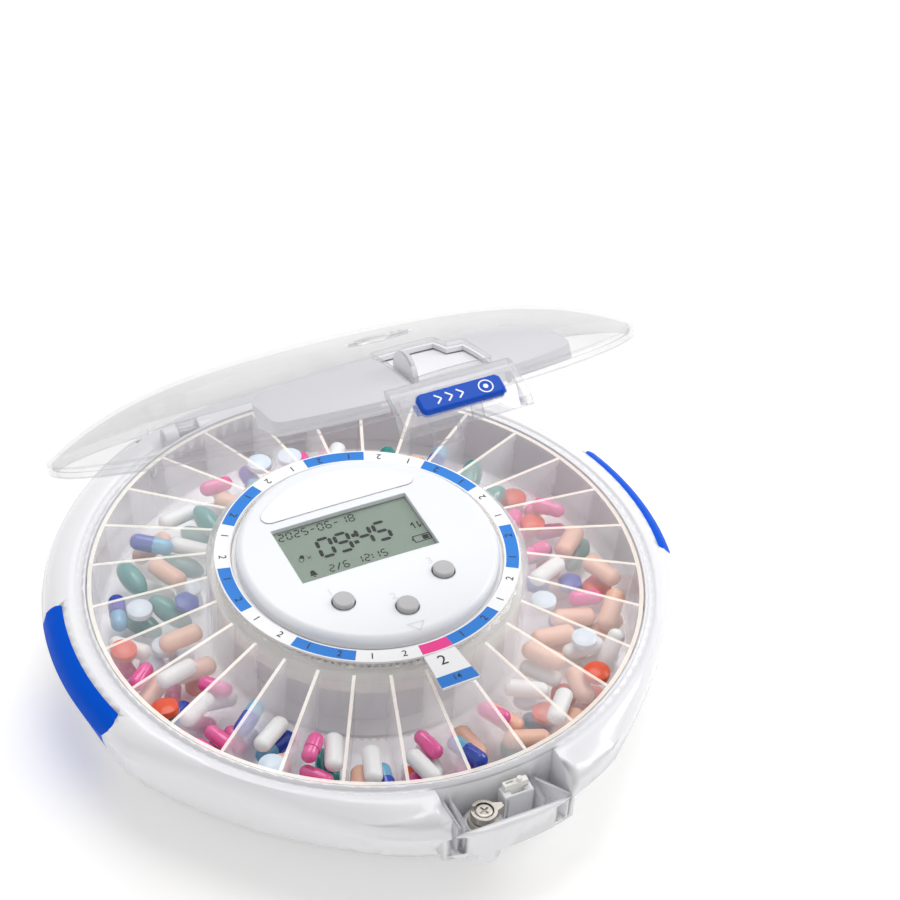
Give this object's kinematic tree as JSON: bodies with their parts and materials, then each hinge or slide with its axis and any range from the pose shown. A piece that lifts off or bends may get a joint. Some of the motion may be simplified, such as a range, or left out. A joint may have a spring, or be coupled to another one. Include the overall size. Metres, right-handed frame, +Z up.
{
  "type": "automatic pill dispenser",
  "caption": "Round tabletop pill dispenser with a motor-turned tray of dose compartments, a central display with push buttons, a key lock and a clear hinged lid with a dispensing door.",
  "frame": {"origin": "on the table under the tray's turning axis, at the plane of the feet", "axes": "+Z up along the tray's turning axis; -Y towards the front bay with the lock and the catch; +X to the right seen from the front; the lid's hinge line runs along X at the back"},
  "size_m": [0.2324, 0.24, 0.1759],
  "materials": {
    "shell_white": "glossy white moulded plastic",
    "grip_blue": "satin blue moulded plastic",
    "tray_clear": "frosty translucent plastic",
    "lid_clear": "clear moulded plastic",
    "panel_white": "white moulded plastic",
    "press_blue": "glossy blue plastic",
    "ring_card": "printed plastic card",
    "ring_blue": "printed blue",
    "ring_pink": "printed pink",
    "display": "liquid crystal display",
    "lens": "clear window",
    "button_grey": "grey silicone-feel plastic",
    "board": "green circuit board",
    "can": "tinned steel can",
    "steel": "nickel-plated steel",
    "gear": "acetal",
    "ivory": "ivory acetal",
    "rubber": "black rubber",
    "black": "black plastic",
    "cell": "plain wrapped dry cell",
    "spring_metal": "plated contact",
    "pill_white": "coated tablet",
    "pill_peach": "coated tablet",
    "pill_teal": "soft gelatine",
    "pill_blue": "hard gelatine",
    "pill_pink": "hard gelatine",
    "pill_orange": "coated tablet",
    "pill_pale": "coated tablet"
  },
  "bodies": {
    "base": {"body_shell": "shell_white", "left_grip": "grip_blue", "right_grip": "grip_blue", "tray_pan": "shell_white", "bottom_cover": "shell_white", "battery_door": "shell_white", "cover_screws": "steel", "feet": "rubber", "battery_cells": "cell", "battery_contacts": "spring_metal", "dc_jack": "black", "hinge_pins": "steel", "hub_column": "shell_white", "gear_motor": "can", "face_plate": "shell_white", "display_lens": "lens", "display_module": "display", "circuit_board": "board", "radio_module": "can", "buzzer": "black", "lock_barrel": "steel", "catch_body": "shell_white"},
    "tray": {"tray_floor": "tray_clear", "tray_outer_wall": "tray_clear", "tray_hub_wall": "tray_clear", "tray_dividers": "tray_clear", "drive_ring": "gear", "dosage_ring": "ring_card", "dosage_tab": "ring_card", "dosage_fields_blue": "ring_blue", "dosage_field_home": "ring_pink", "pill_caplets_white": "pill_white", "pill_caplets_peach": "pill_peach", "pill_softgels_teal": "pill_teal", "pill_capsules_blue": "pill_blue", "pill_capsules_pink": "pill_pink", "pill_tablets_orange": "pill_orange", "pill_tablets_pale": "pill_pale", "pill_tablets_blue": "pill_blue"},
    "pinion": {"drive_pinion": "gear"},
    "lid": {"lid_dome": "lid_clear", "lid_knuckles": "lid_clear", "latch_tabs": "lid_clear", "latch_housing": "lid_clear", "lid_panel": "panel_white"},
    "press": {"press_button": "press_blue"},
    "door": {"slide_door": "panel_white"},
    "key_left": {"button_left": "button_grey"},
    "key_middle": {"button_middle": "button_grey"},
    "key_right": {"button_right": "button_grey"},
    "lock": {"lock_cam": "steel", "lock_screw": "steel"},
    "jaw": {"catch_jaw": "ivory"}
  },
  "joints": [
    {"name": "lid_hinge", "type": "hinge", "parent": "base", "child": "lid", "pos_m": [0, 0.103, 0.039], "axis": [-1, 0, 0], "range_deg": [-38, 42]},
    {"name": "press_button_slide", "type": "slide", "parent": "lid", "child": "press", "axis": [0, 0.2262, -0.9741], "range_m": [0, 0.0012], "stiffness_N_per_m": 400},
    {"name": "dispensing_door", "type": "hinge", "parent": "lid", "child": "door", "pos_m": [0, 0.02861, 0.11108], "axis": [0, 0.6157, 0.788], "range_deg": [0, 11.5]},
    {"name": "tray_turn", "type": "hinge", "parent": "base", "child": "tray", "pos_m": [0, 0, 0.016], "axis": [0, 0, 1], "continuous": true},
    {"name": "pinion_turn", "type": "hinge", "parent": "base", "child": "pinion", "pos_m": [0, 0.042, 0.042], "axis": [0, 0, 1], "continuous": true},
    {"name": "left_button_press", "type": "slide", "parent": "base", "child": "key_left", "axis": [0, 0, -1], "range_m": [0, 0.0008], "stiffness_N_per_m": 500},
    {"name": "middle_button_press", "type": "slide", "parent": "base", "child": "key_middle", "axis": [0, 0, -1], "range_m": [0, 0.0008], "stiffness_N_per_m": 500},
    {"name": "right_button_press", "type": "slide", "parent": "base", "child": "key_right", "axis": [0, 0, -1], "range_m": [0, 0.0008], "stiffness_N_per_m": 500},
    {"name": "lock_turn", "type": "hinge", "parent": "base", "child": "lock", "pos_m": [-0.008, -0.1113, 0.034], "axis": [0, 0, 1], "range_deg": [0, 90]},
    {"name": "catch_jaw_slide", "type": "slide", "parent": "base", "child": "jaw", "axis": [0, -1, 0], "range_m": [0, 0.0015], "stiffness_N_per_m": 300}
  ],
  "couplings": [
    {"joint": "pinion_turn", "follows": "tray_turn", "ratio": 8}
  ]
}
